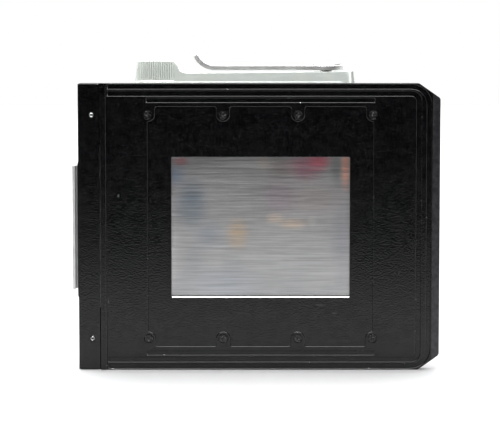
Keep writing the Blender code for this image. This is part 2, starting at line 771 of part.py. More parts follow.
def cover_corner(extra):
    """The far top corner of the gear room's cover, grown by extra."""
    return (ROOM_RIGHT + 0.9 + extra / 2, ROOM_BACK + 0.7 + extra / 2, BODY_HIGH + (1 if extra else 0))


def make_gear_room_cover():
    low = (ROOM_LEFT - 1.1, ROOM_FRONT - 0.6, BODY_HIGH - COVER_T)
    corner = cover_corner(0)
    high = (corner[0] - 0.15, corner[1] - 0.15, BODY_HIGH)
    cover = part("gear_room_cover", box(low, high), BLACKED)
    holes = [rod("Z", (HUB_X, HUB_Y), SHAFT_R + HOLE_GAP, 109, 113, steps=20)]
    holes += [rod("Z", (TAKEUP_X, SPOOL_Y), 1.8, 109, 113, steps=16)]
    holes += [rod("Z", (PAWL_X, PAWL_Y), 1.1, 109, 113, steps=12)]
    holes += [rod("Z", (COUNTER_X, COUNTER_Y), 1.3, 109, 113, steps=12)]
    holes += [rod("Z", spot, 0.9, 109, 113, steps=12) for spot in housing_screw_places()]
    cut(cover, merged(*holes))
    return cover


def make_rear_door():
    """A tray that closes the spool chambers, hinged on the left, with a lip down each side."""
    front = DOOR_SEAT + GAP
    solid = slab("Z", body_plan(front, 0.0), DOOR_LOW, DOOR_HIGH)
    door = part("rear_door", solid, WRINKLE, (HINGE_X, HINGE_Y, MID_Z))
    knuckle_low, knuckle_high = KNUCKLE_LOWS[0] + KNUCKLE_H + GAP, KNUCKLE_LOWS[1] - GAP
    join(door, rod("Z", (HINGE_X, HINGE_Y), KNUCKLE_R, knuckle_low, knuckle_high, steps=20))
    leaf_low = (HINGE_X, front + 0.1, knuckle_low)
    join(door, box(leaf_low, (BODY_LEFT + 0.5, front + 2.2, knuckle_high)))
    hollow = rounded(
        [
            (GATE_X - CHAMBER_HALF_W, front - 1),
            (GATE_X + CHAMBER_HALF_W, front - 1),
            (GATE_X + CHAMBER_HALF_W, BODY_BACK - 2.0),
            (GATE_X - CHAMBER_HALF_W, BODY_BACK - 2.0),
        ],
        [0, 0, 7.0, 7.0],
        6,
    )
    cut(door, slab("Z", hollow, CHAMBER_LOW, CHAMBER_HIGH))
    for side in (-1, 1):
        wall = CHAMBER_HALF_W + 0.5
        outer, inner = CHAMBER_HALF_W - 0.4, CHAMBER_HALF_W - 1.4
        lip = [(wall, front + 2.0), (wall, front + 0.6), (outer, front + 0.6), (outer, front - 1.4)]
        lip += [(inner, front - 1.4), (inner, front + 2.0)]
        lip = [(GATE_X + side * u, v) for u, v in lip]
        join(door, slab("Z", lip, CHAMBER_LOW + 0.4, CHAMBER_HIGH - 0.4))
    cut(door, rod("Z", (HINGE_X, HINGE_Y), HINGE_BORE_R, knuckle_low - 1, knuckle_high + 1, steps=16))
    channel = box((LATCH_X - 2.3, 30.7, 94.6), (LATCH_X + 2.3, 34.3, DOOR_HIGH + 1))
    cut(door, channel)
    cut(door, box((LATCH_X - 1.3, 33, 96.6), (LATCH_X + 1.3, BODY_BACK + 1, DOOR_HIGH + 1)))
    panel = rectangle((GATE_X - 56.3, 24.7), (GATE_X + 56.3, 91.3), 3.3, 3)
    cut(door, slab("Y", panel, BODY_BACK - 0.6, BODY_BACK + 1))
    return door


def make_door_fittings(door):
    panel = rectangle((GATE_X - 56.0, 25.0), (GATE_X + 56.0, 91.0), 3.0, 3)
    part("door_leather", slab("Y", panel, BODY_BACK - 0.3, BODY_BACK + 0.3), LEATHER, parent=door)
    frame = rectangle((-34, 32), (14, 82), 1.5, 2)
    hole = rectangle((-30.5, 35.5), (10.5, 84 - 5.5), 1.0, 2)
    back = BODY_BACK + 0.3 + GAP
    memo = part("memo_frame", slab("Y", frame, back, back + 0.8, holes=[hole]), ALUMINIUM, parent=door)
    cut(memo, box((-20, back - 1, 77), (0, back + 2, 83)))
    pin_low, pin_high = KNUCKLE_LOWS[0] - 0.6, KNUCKLE_LOWS[1] + KNUCKLE_H + 0.6
    pin = rod("Z", (HINGE_X, HINGE_Y), HINGE_BORE_R - HOLE_GAP, pin_low, pin_high, steps=16)
    part("hinge_pin", pin, CHROME, (HINGE_X, HINGE_Y, MID_Z), smooth=40)
    for name, z in (("door_seal_bottom", CHAMBER_LOW - 4.1), ("door_seal_top", CHAMBER_HIGH + 1.9)):
        part(name, box((GATE_X - 60.7, 25.9, z), (GATE_X + 60.7, DOOR_SEAT - 0.05, z + 2.2)), FELT)


def make_latch(door):
    """A sprung bolt that shoots up into the body's top, with a ribbed thumb piece on the door's back."""
    bolt = box((LATCH_X - 2.0, 31.0, 99.5), (LATCH_X + 2.0, 34.0, DOOR_HIGH + 2.3))
    latch = part("door_latch", bolt, ALUMINIUM, (LATCH_X, 32.5, 100.0), parent=door)
    join(latch, box((LATCH_X - 1.0, 33.5, 99.6), (LATCH_X + 1.0, BODY_BACK + 0.8, 100.9)))
    thumb = rectangle((LATCH_X - 6, 92.8), (LATCH_X + 6, 100.7), 1.2, 2)
    join(latch, slab("Y", thumb, BODY_BACK + GAP, BODY_BACK + 1.9))
    ribs = [(LATCH_X - 7, 94.2 + 1.3 * i) for i in range(4)]
    grooves = [box((x, BODY_BACK + 1.35, z), (x + 14, BODY_BACK + 3, z + 0.6)) for x, z in ribs]
    cut(latch, merged(*grooves))
    coil("latch_spring", (LATCH_X, 32.5), 1.1, 0.2, 95.1, 99.0, 4, BLACKED, door)


# Film path


def make_film_path():
    plate = rectangle((GATE_X - 37.5, MID_Z - 30.5), (GATE_X + 37.5, MID_Z + 30.5), 1.0, 2)
    solid = slab("Y", plate, FILM_Y + GAP, FILM_Y + GAP + 1.4)
    soften(solid, 0.5, lambda at: at.y > FILM_Y + GAP + 1.3)
    pressure = part("pressure_plate", solid, BLACKED)
    for name, x in (("pressure_spring_left", GATE_X - 14), ("pressure_spring_right", GATE_X + 4)):
        ends = FILM_Y + 2.3
        bow = [(ends + 3.6 * math.sin(math.pi * i / 10), MID_Z - 22 + 4.4 * i) for i in range(11)]
        part(name, slab("X", ribbon(bow, 0.4), x, x + 10), CHROME, parent=pressure)
    bridge_y = FILM_Y + 7.2
    low, high = CHAMBER_LOW + GAP, CHAMBER_HIGH - GAP
    bridge = [
        (bridge_y, low),
        (bridge_y + 9, low),
        (bridge_y + 9, low + 1.2),
        (bridge_y + 1.2, low + 1.2),
        (bridge_y + 1.2, high - 1.2),
        (bridge_y + 9, high - 1.2),
        (bridge_y + 9, high),
        (bridge_y, high),
    ]
    part("pressure_bridge", slab("X", bridge, GATE_X - 20, GATE_X + 20), BLACKED)
    for name, x in (("guide_roller", -ROLLER_X), ("measuring_roller", ROLLER_X)):
        half, pin = 30.2, 34.6
        profile = [
            (0, MID_Z + pin),
            (1.0, MID_Z + pin),
            (1.0, MID_Z + half + 1.5),
            (ROLLER_R, MID_Z + half + 1.5),
            (ROLLER_R, MID_Z + half - 1.5),
            (ROLLER_R - 0.5, MID_Z + half - 2.0),
            (ROLLER_R - 0.5, MID_Z - half + 2.0),
            (ROLLER_R, MID_Z - half + 1.5),
            (ROLLER_R, MID_Z - half - 1.5),
            (1.0, MID_Z - half - 1.5),
            (1.0, MID_Z - pin),
            (0, MID_Z - pin),
        ]
        turned(name, profile, (GATE_X + x, ROLLER_Y), CHROME, steps=20)


def make_take_up():
    high, low = MID_Z + SPOOL_HALF_H, MID_Z - SPOOL_HALF_H
    profile = [
        (3.3, high - 5.5),
        (3.3, high),
        (FLANGE_R, high),
        (FLANGE_R, high - FLANGE_T),
        (CORE_R, high - FLANGE_T),
        (CORE_R, low + FLANGE_T),
        (FLANGE_R, low + FLANGE_T),
        (FLANGE_R, low),
        (3.3, low),
        (3.3, low + 5.5),
        (0, low + 5.5),
    ]
    profile = [(0, high - 5.5)] + profile
    spool = turned("take_up_spool", profile, (TAKEUP_X, SPOOL_Y), PLASTIC, steps=32)
    cut(spool, box((TAKEUP_X - 5.0, SPOOL_Y - 1.1, high - 3.2), (TAKEUP_X + 5.0, SPOOL_Y + 1.1, high + 1)))
    slot = box((TAKEUP_X - 8, SPOOL_Y - 0.9, MID_Z - 28), (TAKEUP_X + 8, SPOOL_Y + 0.9, MID_Z + 28))
    cut(spool, slot)
    shaft_top = BODY_HIGH - 0.3
    shaft_profile = [
        (0, shaft_top),
        (1.4, shaft_top),
        (1.4, 109.8),
        (3.0, 109.8),
        (3.0, high + 0.5),
        (2.6, high + 0.2),
        (2.6, high - 4.8),
        (0, high - 4.8),
    ]
    shaft = turned("take_up_shaft", shaft_profile, (TAKEUP_X, SPOOL_Y), CHROME, spool, steps=20)
    key = box((TAKEUP_X - 4.6, SPOOL_Y - 0.8, high - 2.8), (TAKEUP_X + 4.6, SPOOL_Y + 0.8, high - 0.4))
    join(shaft, key)
    outline = gear_outline((TAKEUP_X, SPOOL_Y), TAKEUP_TEETH, 180 / TAKEUP_TEETH)
    bore = circle((TAKEUP_X, SPOOL_Y), SHAFT_BORE_R, 20)
    origin = (TAKEUP_X, SPOOL_Y, 0.0)
    gear = slab("Z", outline, GEAR_LOW, GEAR_LOW + GEAR_T, holes=[bore])
    part("take_up_gear", gear, BRASS, origin, spool)
    teeth = ratchet_outline((TAKEUP_X, SPOOL_Y), RATCHET_TEETH, RATCHET_R, RATCHET_ROOT_R)
    wheel = slab("Z", teeth, RATCHET_LOW, RATCHET_HIGH, holes=[circle((TAKEUP_X, SPOOL_Y), SHAFT_BORE_R, 20)])
    part("ratchet_wheel", wheel, BLACKED, origin, spool)


def make_pawl():
    tip = (TAKEUP_X - 6.0, SPOOL_Y - 5.3)
    outline = arc((PAWL_X, PAWL_Y), 2.0, 40, 330, 10)
    outline += [(tip[0], tip[1] - 1.1), (tip[0] + 0.1, tip[1]), (tip[0] - 1.4, tip[1] + 0.2)]
    bore = circle((PAWL_X, PAWL_Y), 1.1, 12)
    pawl = slab("Z", outline, RATCHET_LOW + 0.1, RATCHET_HIGH, holes=[bore])
    part("ratchet_pawl", pawl, BLACKED, (PAWL_X, PAWL_Y, 0.0))
    part("pawl_pin", rod("Z", (PAWL_X, PAWL_Y), 0.8, 108.2, 111.6, steps=12), CHROME, smooth=40)
    leaf = [(PAWL_X - 6.0, ROOM_FRONT + 0.8), (PAWL_X + 0.5, ROOM_FRONT + 0.9)]
    leaf.append((PAWL_X + 3.6, PAWL_Y - 3.6))
    part("pawl_spring", slab("Z", ribbon(leaf, 0.25), RATCHET_LOW + 0.1, RATCHET_HIGH), CHROME)


def make_spool_knobs():
    """Knobs that pull down to let a spool out. Their ends stand level with the plate's lower edge."""
    profile = [
        (0, 30.0),
        (1.8, 30.0),
        (2.7, 29.2),
        (2.7, 26.9),
        (2.2, 26.5),
        (2.2, 22.6),
        (3.6, 22.6),
        (3.6, 21.6),
        (2.2, 21.6),
        (2.2, 8.2),
        (8.6, 8.2),
        (9.5, 7.4),
        (9.5, 0.8),
        (8.8, 0.0),
        (0, 0.0),
    ]
    for name, x in (("supply_knob", SUPPLY_X), ("take_up_knob", TAKEUP_X)):
        knob = turned(name, profile, (x, SPOOL_Y), CHROME, steps=24)
        grip = []
        for i in range(12):
            angle = 2 * math.pi * i / 12
            spot = (x + 10.0 * math.cos(angle), SPOOL_Y + 10.0 * math.sin(angle))
            grip.append(rod("Z", spot, 1.1, 1.6, 6.6, steps=6))
        cut(knob, merged(*grip))
        coil(f"{name}_spring", (x, SPOOL_Y), 2.9, 0.25, BASE_LOW + 0.6, 21.0, 4, CHROME)
    pin = [(0, 94.7), (2.0, 94.7), (2.0, 93.2), (4.5, 93.2), (4.5, 92.8)]
    pin += [(2.7, 92.8), (2.7, 91.2), (1.8, 90.6), (0, 90.6)]
    turned("supply_idler_pin", pin, (SUPPLY_X, SPOOL_Y), CHROME, steps=20)


# Winding housing, lever and counter


def housing_screw_places():
    return [(-31.0, 33.5), (4.0, 33.5), (36.0, 33.6)]


def make_winding_housing():
    """A casting with a low deck for the lever and a fluted block, which holds the counter, at its left."""
    flank = arc((BLOCK_RIGHT + 1.2 + FLANK_R, DECK_LEFT_Z + FLANK_R), FLANK_R, 196, 270, 6)
    profile = [
        (HOUSING_LEFT, HOUSING_LOW),
        (HOUSING_RIGHT, HOUSING_LOW),
        (HOUSING_RIGHT - 0.5, HOUSING_LOW + 8),
        (HOUSING_RIGHT - 1.2, DECK_RIGHT_Z),
        *flank[::-1],
        (BLOCK_RIGHT, BLOCK_HIGH),
        (HOUSING_LEFT + 1.9, BLOCK_HIGH),
        (HOUSING_LEFT + 0.6, HOUSING_LOW + 8),
    ]
    solid = slab("Y", profile, HOUSING_FRONT, HOUSING_BACK)
    soften(solid, HOUSING_BEVEL, lambda at: at.z > DECK_LEFT_Z - 1.0 and abs(at.y - HOUSING_MID_Y) > 10.0)
    housing = part("winding_housing", solid, CAST)
    front, back = HOUSING_FRONT + SKIM, HOUSING_BACK - SKIM
    left_r, right_r = BLOCK_CORNER_R, DECK_CORNER_R
    plan = arc((HOUSING_LEFT + left_r, back - left_r), left_r, 180, 90, 4)
    plan += arc((HOUSING_RIGHT - right_r, back - right_r), right_r, 90, 0, 4)
    plan += arc((HOUSING_RIGHT - right_r, front + right_r), right_r, 0, -90, 4)
    plan += [(BLOCK_RIGHT + 0.4, front)]
    plan += flute_points()
    keep(housing, slab("Z", plan, HOUSING_LOW - 1, BLOCK_HIGH + 2))
    inside_low = (HOUSING_LEFT + HOUSING_WALL + 0.7, HOUSING_FRONT + HOUSING_WALL)
    inside_high = (HOUSING_RIGHT - HOUSING_WALL - 0.6, HOUSING_BACK - HOUSING_WALL)
    inside = rectangle(inside_low, inside_high, 3.0, 3)
    cut(housing, slab("Z", inside, HOUSING_LOW - 1, DECK_LEFT_Z - DECK_T))
    for x, y in housing_screw_places():
        join(housing, rod("Z", (x, y), 2.4, HOUSING_LOW, DECK_LEFT_Z - 1, steps=12))
    places = housing_screw_places()
    bores = [rod("Z", spot, 0.9 + HOLE_GAP, HOUSING_LOW - 1, 123.5, steps=8) for spot in places]
    bores += [rod("Z", (HUB_X, HUB_Y), SHAFT_R + HOLE_GAP, 121, 127, steps=20)]
    bores += [rod("Z", (COUNTER_X, COUNTER_Y), DIAL_R + 1.0, 121, 127.2, steps=28)]
    cut(housing, merged(*bores))
    heads = [rod("Z", (x, y), 2.2, 123.3, 127, steps=16) for x, y in housing_screw_places()]
    heads += [rod("Z", (COUNTER_X, COUNTER_Y), DIAL_R + HOLE_GAP, 126, 131, steps=28)]
    cut(housing, merged(*heads))
    cut(housing, rod("Y", (BUTTON_X, BUTTON_Z), 3.5, HOUSING_BACK - 4, HOUSING_BACK + 1, steps=16))
    return housing


def flute_points():
    """The fluted front of the block, from its right end round the left corner, as seen from above."""
    corner_r = BLOCK_CORNER_R
    pitch, depth = FLUTE_PITCH, FLUTE_DEPTH
    straight = BLOCK_RIGHT - 0.3 - (HOUSING_LEFT + corner_r)
    length = straight + corner_r * math.pi / 2 * 0.8
    count = int(length / pitch)
    points = []
    for i in range(count * 3 + 1):
        run = i * pitch / 3
        dip = SKIM + (depth if i % 3 == 1 else 0.0)
        if run <= straight:
            points.append((BLOCK_RIGHT - 0.3 - run, HOUSING_FRONT + dip))
            continue
        angle = -math.pi / 2 - (run - straight) / corner_r
        radius = corner_r - dip
        centre = (HOUSING_LEFT + corner_r, HOUSING_FRONT + corner_r)
        points.append((centre[0] + radius * math.cos(angle), centre[1] + radius * math.sin(angle)))
    return points


def make_housing_screws():
    profile = [(0, 124.4), (1.6, 124.4), (1.9, 124.2), (1.9, 123.6), (0.9, 123.6), (0.6, 123.3)]
    profile += [(0.6, 110.7), (0, 110.7)]
    for index, (x, y) in enumerate(housing_screw_places()):
        screw = turned(f"housing_screw_{index + 1}", profile, (x, y), CHROME, steps=16)
        cut(screw, box((x - 2.5, y - 0.25, 124.0), (x + 2.5, y + 0.25, 125)))


def make_lever():
    centre = (LEVER_CURL_X, LEVER_LOW + LEVER_CURL_R)
    sweep = math.degrees(LEVER_CURL_ANGLE)
    under = arc(centre, LEVER_CURL_R, 270, 270 - sweep, 8)
    over = arc(centre, LEVER_CURL_R - LEVER_T, 270 - sweep, 270, 8)
    side = [(HUB_X + HUB_R + 1, LEVER_LOW), *under, *over, (HUB_X + HUB_R + 1, LEVER_LOW + LEVER_T)]
    origin = (HUB_X, HUB_Y, LEVER_LOW)
    lever = part("winding_lever", slab("Y", side, HUB_Y - 8, HUB_Y + 8), ALUMINIUM, origin)
    tip = LEVER_CURL_X - LEVER_CURL_R
    front = HUB_Y - 4.4
    plan = arc((HUB_X, HUB_Y), HUB_R, -122, 115, 20)
    plan += [(HUB_X - 14, HUB_Y + 4.6)]
    plan += arc((tip + 3.2, HUB_Y + 1.8), 3.0, 90, 180, 3)
    plan += arc((tip + 3.2, front + 3.0), 3.0, 180, 270, 3)
    plan += [(HUB_X - 14, front)]
    keep(lever, slab("Z", plan, LEVER_LOW - 1, LEVER_LOW + 12))
    join(lever, rod("Z", (HUB_X, HUB_Y), HUB_R - 0.5, LEVER_LOW + 1, LEVER_LOW + 3.0, HUB_R - 1.1, 28))
    cut(lever, rod("Z", (HUB_X, HUB_Y), SHAFT_R + HOLE_GAP, LEVER_LOW - 1, LEVER_LOW + 4, steps=20))
    cut(lever, rod("Z", (HUB_X, HUB_Y), 4.8, LEVER_LOW + 2.0, LEVER_LOW + 4, steps=24))
    shaft_top = LEVER_LOW + 1.9
    shaft_profile = [(0, shaft_top), (SHAFT_R, shaft_top), (SHAFT_R, ROOM_LOW + GAP), (0, ROOM_LOW + GAP)]
    turned("lever_shaft", shaft_profile, (HUB_X, HUB_Y), CHROME, lever, steps=20)
    head_low, head_high = LEVER_LOW + 2.3, LEVER_LOW + 3.6
    head = [(0, head_high), (3.9, head_high), (4.4, head_high - 0.4), (4.4, head_low), (0, head_low)]
    screw = turned("lever_screw", head, (HUB_X, HUB_Y), CHROME, lever, steps=24)
    cut(screw, box((HUB_X - 5, HUB_Y - 0.4, LEVER_LOW + 3.0), (HUB_X + 5, HUB_Y + 0.4, LEVER_LOW + 5)))
    bore = circle((HUB_X, HUB_Y), SHAFT_R + HOLE_GAP, 20)
    gear = slab("Z", gear_outline((HUB_X, HUB_Y), LEVER_TEETH), GEAR_LOW, GEAR_LOW + GEAR_T, holes=[bore])
    part("lever_gear", gear, BRASS, (HUB_X, HUB_Y, 0.0), lever)
    turns, count = 1.5, 24
    spiral = []
    for i in range(count + 1):
        angle = 2 * math.pi * turns * i / count
        radius = SHAFT_R + 0.5 + 1.2 * i / count
        spiral.append((HUB_X + radius * math.cos(angle), HUB_Y + radius * math.sin(angle)))
    part("lever_return_spring", slab("Z", ribbon(spiral, 0.3), 114.0, 117.0), BLACKED)


def make_counter():
    place_xy = (COUNTER_X, COUNTER_Y)
    dial_high = DIAL_LOW + DIAL_T
    disc = [(0, dial_high), (DIAL_R, dial_high), (DIAL_R, DIAL_LOW), (0, DIAL_LOW)]
    turned("counter_dial", disc, place_xy, DIAL, steps=28)
    dial = bpy.data.objects["counter_dial"]
    spindle = [(0, 125.3), (1.0, 125.3), (1.0, 110.6), (0, 110.6)]
    turned("counter_spindle", spindle, place_xy, CHROME, dial, steps=12)
    lens = [(0, 128.9), (DIAL_R - 0.7, 128.7), (DIAL_R, 128.3), (DIAL_R, 127.5), (0, 127.5)]
    turned("counter_window", lens, place_xy, CLEAR, steps=28)


def make_release_button():
    """The button on the housing's back that frees the lever for the next stroke."""
    profile = [(0, 1.8), (2.6, 1.8), (3.2, 1.3), (3.2, -2.2), (1.2, -2.2), (1.2, -6.0), (0, -6.0)]
    origin = (BUTTON_X, HOUSING_BACK, BUTTON_Z)
    button = turned("release_button", profile, (0, 0), ALUMINIUM, steps=16)
    button["origin_mm"] = origin
    button.location = Vector(origin) * MM
    button.rotation_euler = (math.radians(-90), 0, 0)


make_front_plate()
make_rear_plate()
make_slide_cover()
make_cover_screws()
make_face_screws()
make_dark_slide()
make_light_trap()
make_magazine_body()
make_gear_room_cover()
rear_door = make_rear_door()
make_door_fittings(rear_door)
make_latch(rear_door)
make_film_path()
make_take_up()
make_pawl()
make_spool_knobs()
make_winding_housing()
make_housing_screws()
make_lever()
make_counter()
make_release_button()
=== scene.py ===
"""The looks of a lever-wind roll film holder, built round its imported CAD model."""

import json
import math

import bmesh
import bpy
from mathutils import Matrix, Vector


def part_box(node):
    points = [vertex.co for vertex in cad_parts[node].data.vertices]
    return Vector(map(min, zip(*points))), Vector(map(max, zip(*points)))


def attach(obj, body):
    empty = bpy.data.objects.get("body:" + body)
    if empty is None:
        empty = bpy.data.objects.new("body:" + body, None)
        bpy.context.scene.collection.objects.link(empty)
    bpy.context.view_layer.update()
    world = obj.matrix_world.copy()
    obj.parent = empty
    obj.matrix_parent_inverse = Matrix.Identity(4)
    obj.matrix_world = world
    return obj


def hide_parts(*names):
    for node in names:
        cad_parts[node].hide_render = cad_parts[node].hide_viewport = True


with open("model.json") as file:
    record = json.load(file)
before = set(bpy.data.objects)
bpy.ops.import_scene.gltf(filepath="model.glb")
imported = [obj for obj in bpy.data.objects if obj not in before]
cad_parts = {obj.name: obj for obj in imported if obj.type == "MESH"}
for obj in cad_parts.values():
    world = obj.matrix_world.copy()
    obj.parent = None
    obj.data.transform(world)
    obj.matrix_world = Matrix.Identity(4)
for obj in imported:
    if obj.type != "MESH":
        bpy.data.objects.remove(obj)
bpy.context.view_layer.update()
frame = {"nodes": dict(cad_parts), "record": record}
nodes = frame["nodes"]
body_of_node = {n: body for body, names in frame["record"]["behaviour"]["bodies"].items() for n in names}
slot_of_node = {row["node"]: row["material_slot"] for row in frame["record"]["subparts"]}

MM = 0.001
SMOOTH_ANGLE = math.radians(35)
SHARP_ANGLE = math.radians(30)
FLAT_ANGLE = math.radians(0.6)
WELD = 0.001 * MM


# Materials


class Finish:
    """One procedural material. Sizes given to it are in millimetres, in the holder's own space."""

    def __init__(self, name, colour, roughness, metallic=0.0, **sockets):
        self.material = bpy.data.materials.new(name)
        self.material.use_nodes = True
        self.tree = self.material.node_tree
        self.shader = self.tree.nodes["Principled BSDF"]
        self.shader.inputs["Base Color"].default_value = (*colour, 1.0)
        self.shader.inputs["Roughness"].default_value = roughness
        self.shader.inputs["Metallic"].default_value = metallic
        for socket, value in sockets.items():
            self.shader.inputs[socket.replace("_", " ")].default_value = value
        self.place = self.tree.nodes.new("ShaderNodeTexCoord").outputs["Object"]

    def link(self, value, socket):
        """Puts a value, or another node's output, into a socket."""
        if isinstance(value, bpy.types.NodeSocket):
            self.tree.links.new(value, socket)
        elif isinstance(value, tuple) and len(value) == 3 and socket.type == "RGBA":
            socket.default_value = (*value, 1.0)
        else:
            socket.default_value = value

    def paint(self, socket, value):
        self.link(value, self.shader.inputs[socket])

    def stretched(self, scale):
        """The holder's space, scaled along each axis."""
        node = self.tree.nodes.new("ShaderNodeMapping")
        self.link(self.place, node.inputs["Vector"])
        node.inputs["Scale"].default_value = scale
        return node.outputs["Vector"]

    def noise(self, size, detail=2.0, stretch=(1.0, 1.0, 1.0), roughness=0.5):
        """Soft noise, from 0 to 1, with features of one size."""
        node = self.tree.nodes.new("ShaderNodeTexNoise")
        self.link(self.stretched(stretch), node.inputs["Vector"])
        node.inputs["Scale"].default_value = 1.0 / (size * MM)
        node.inputs["Detail"].default_value = detail
        node.inputs["Roughness"].default_value = roughness
        return node.outputs["Fac"]

    def cells(self, size, feature):
        """The distance to the nearest of many scattered points."""
        node = self.tree.nodes.new("ShaderNodeTexVoronoi")
        node.feature = feature
        self.link(self.place, node.inputs["Vector"])
        node.inputs["Scale"].default_value = 1.0 / (size * MM)
        return node.outputs["Distance"]

    def ramp(self, value, low, high, to_low=0.0, to_high=1.0):
        """A value spread from one range to another, and held at its ends."""
        node = self.tree.nodes.new("ShaderNodeMapRange")
        node.interpolation_type = "SMOOTHSTEP"
        self.link(value, node.inputs["Value"])
        node.inputs["From Min"].default_value = low
        node.inputs["From Max"].default_value = high
        node.inputs["To Min"].default_value = to_low
        node.inputs["To Max"].default_value = to_high
        return node.outputs["Result"]

    def maths(self, operation, first, second):
        """Two values put through one operation, such as ADD or MULTIPLY."""
        node = self.tree.nodes.new("ShaderNodeMath")
        node.operation = operation
        self.link(first, node.inputs[0])
        self.link(second, node.inputs[1])
        return node.outputs["Value"]

    def blend(self, factor, first, second):
        """Two colours mixed by a factor."""
        node = self.tree.nodes.new("ShaderNodeMix")
        node.data_type = "RGBA"
        self.link(factor, node.inputs["Factor"])
        first_colour, second_colour = [i for i in node.inputs if i.type == "RGBA"]
        self.link(first, first_colour)
        self.link(second, second_colour)
        return next(o for o in node.outputs if o.type == "RGBA")

    def shaded(self, colour, strength):
        """A colour made lighter or darker by a factor."""
        node = self.tree.nodes.new("ShaderNodeVectorMath")
        node.operation = "SCALE"
        self.link(colour, node.inputs["Vector"])
        self.link(strength, node.inputs["Scale"])
        return node.outputs["Vector"]

    def relief(self, height, depth):
        """A bump whose full height is a depth in millimetres."""
        node = self.tree.nodes.new("ShaderNodeBump")
        node.inputs["Strength"].default_value = 1.0
        node.inputs["Distance"].default_value = depth * MM
        self.link(height, node.inputs["Height"])
        self.paint("Normal", node.outputs["Normal"])

    def mark(self, name):
        """1 on the faces that carry a mark, such as rounded_edge, and 0 on the others."""
        node = self.tree.nodes.new("ShaderNodeAttribute")
        node.attribute_name = name
        return node.outputs["Fac"]


def spot(made, x, z, width, height):
    """1 at a place on the holder's front, falling to 0 at an ellipse round it. Sizes are in millimetres."""
    node = made.tree.nodes.new("ShaderNodeTexGradient")
    node.gradient_type = "SPHERICAL"
    space = made.tree.nodes.new("ShaderNodeMapping")
    space.inputs["Location"].default_value = (-x / width, 0.0, -z / height)
    space.inputs["Scale"].default_value = (1 / (width * MM), 0.0, 1 / (height * MM))
    made.link(made.place, space.inputs["Vector"])
    made.link(space.outputs["Vector"], node.inputs["Vector"])
    return node.outputs["Fac"]


# Each is a place on the front in X and Z, and a width and a height
SCRATCHES = [
    (26.8, 27.4, 2.6, 0.16),
    (33.0, 23.9, 1.8, 0.16),
    (-57.6, 73.4, 0.5, 0.9),
    (-62.0, 29.0, 0.2, 1.6),
    (60.0, 41.0, 0.5, 0.3),
]


def wrinkle_lacquer():
    """Black crackle enamel, worn through to bare metal in specks along its edges."""
    made = Finish("wrinkle_lacquer", (0.002, 0.002, 0.002), 0.26, Specular_IOR_Level=0.38)
    pebbles = made.ramp(made.cells(0.6, "SMOOTH_F1"), 0.05, 0.75)
    height = made.maths("ADD", pebbles, made.maths("MULTIPLY", made.noise(0.4, 3.0), 0.9))
    made.relief(height, 0.020)
    tone = made.ramp(made.noise(14.0, 4.0), 0.3, 0.7)
    black = made.blend(tone, (0.0002, 0.0002, 0.0002), (0.0006, 0.0006, 0.0009))
    flecks = made.ramp(made.noise(0.6, 1.0), 0.56, 0.70)
    black = made.blend(flecks, black, (0.008, 0.008, 0.009))
    # Painted sheen: the lacquer on the sloped strip at the plate's right end is painted lighter.
    painted_slope_sheen = made.maths("MULTIPLY", made.mark("painted_slope_sheen"), made.ramp(made.noise(2.0, 5.0), 0.3, 0.7, 0.5, 1.0))
    black = made.blend(painted_slope_sheen, black, (0.029, 0.028, 0.031))
    for x, z, width, height in SCRATCHES:
        black = made.blend(made.ramp(spot(made, x, z, width, height), 0.1, 0.5), black, (0.07, 0.07, 0.07))
    specks = made.ramp(made.noise(1.1, 5.0, roughness=0.7), 0.66, 0.70)
    chipped = made.maths("MULTIPLY", made.mark("rounded_edge"), specks)
    bared = made.maths("MAXIMUM", chipped, made.mark("bare_metal"))
    made.paint("Base Color", made.blend(bared, black, (0.66, 0.66, 0.65)))
    made.paint("Metallic", bared)
    made.paint("Roughness", made.ramp(made.noise(3.0, 4.0), 0.3, 0.7, 0.18, 0.26))
    return made.material


def blackened_steel():
    made = Finish("blackened_steel", (0.012, 0.012, 0.013), 0.35, 0.3)
    wear = made.maths("MULTIPLY", made.mark("rounded_edge"), made.ramp(made.noise(0.7, 4.0), 0.52, 0.62))
    patches = made.ramp(made.noise(2.0, 4.0), 0.3, 0.7)
    tone = made.blend(patches, (0.004, 0.004, 0.005), (0.016, 0.015, 0.015))
    made.paint("Base Color", made.blend(wear, tone, (0.30, 0.29, 0.28)))
    made.paint("Roughness", made.ramp(made.noise(1.5, 4.0), 0.3, 0.7, 0.20, 0.34))
    made.relief(made.noise(0.25, 3.0), 0.006)
    return made.material
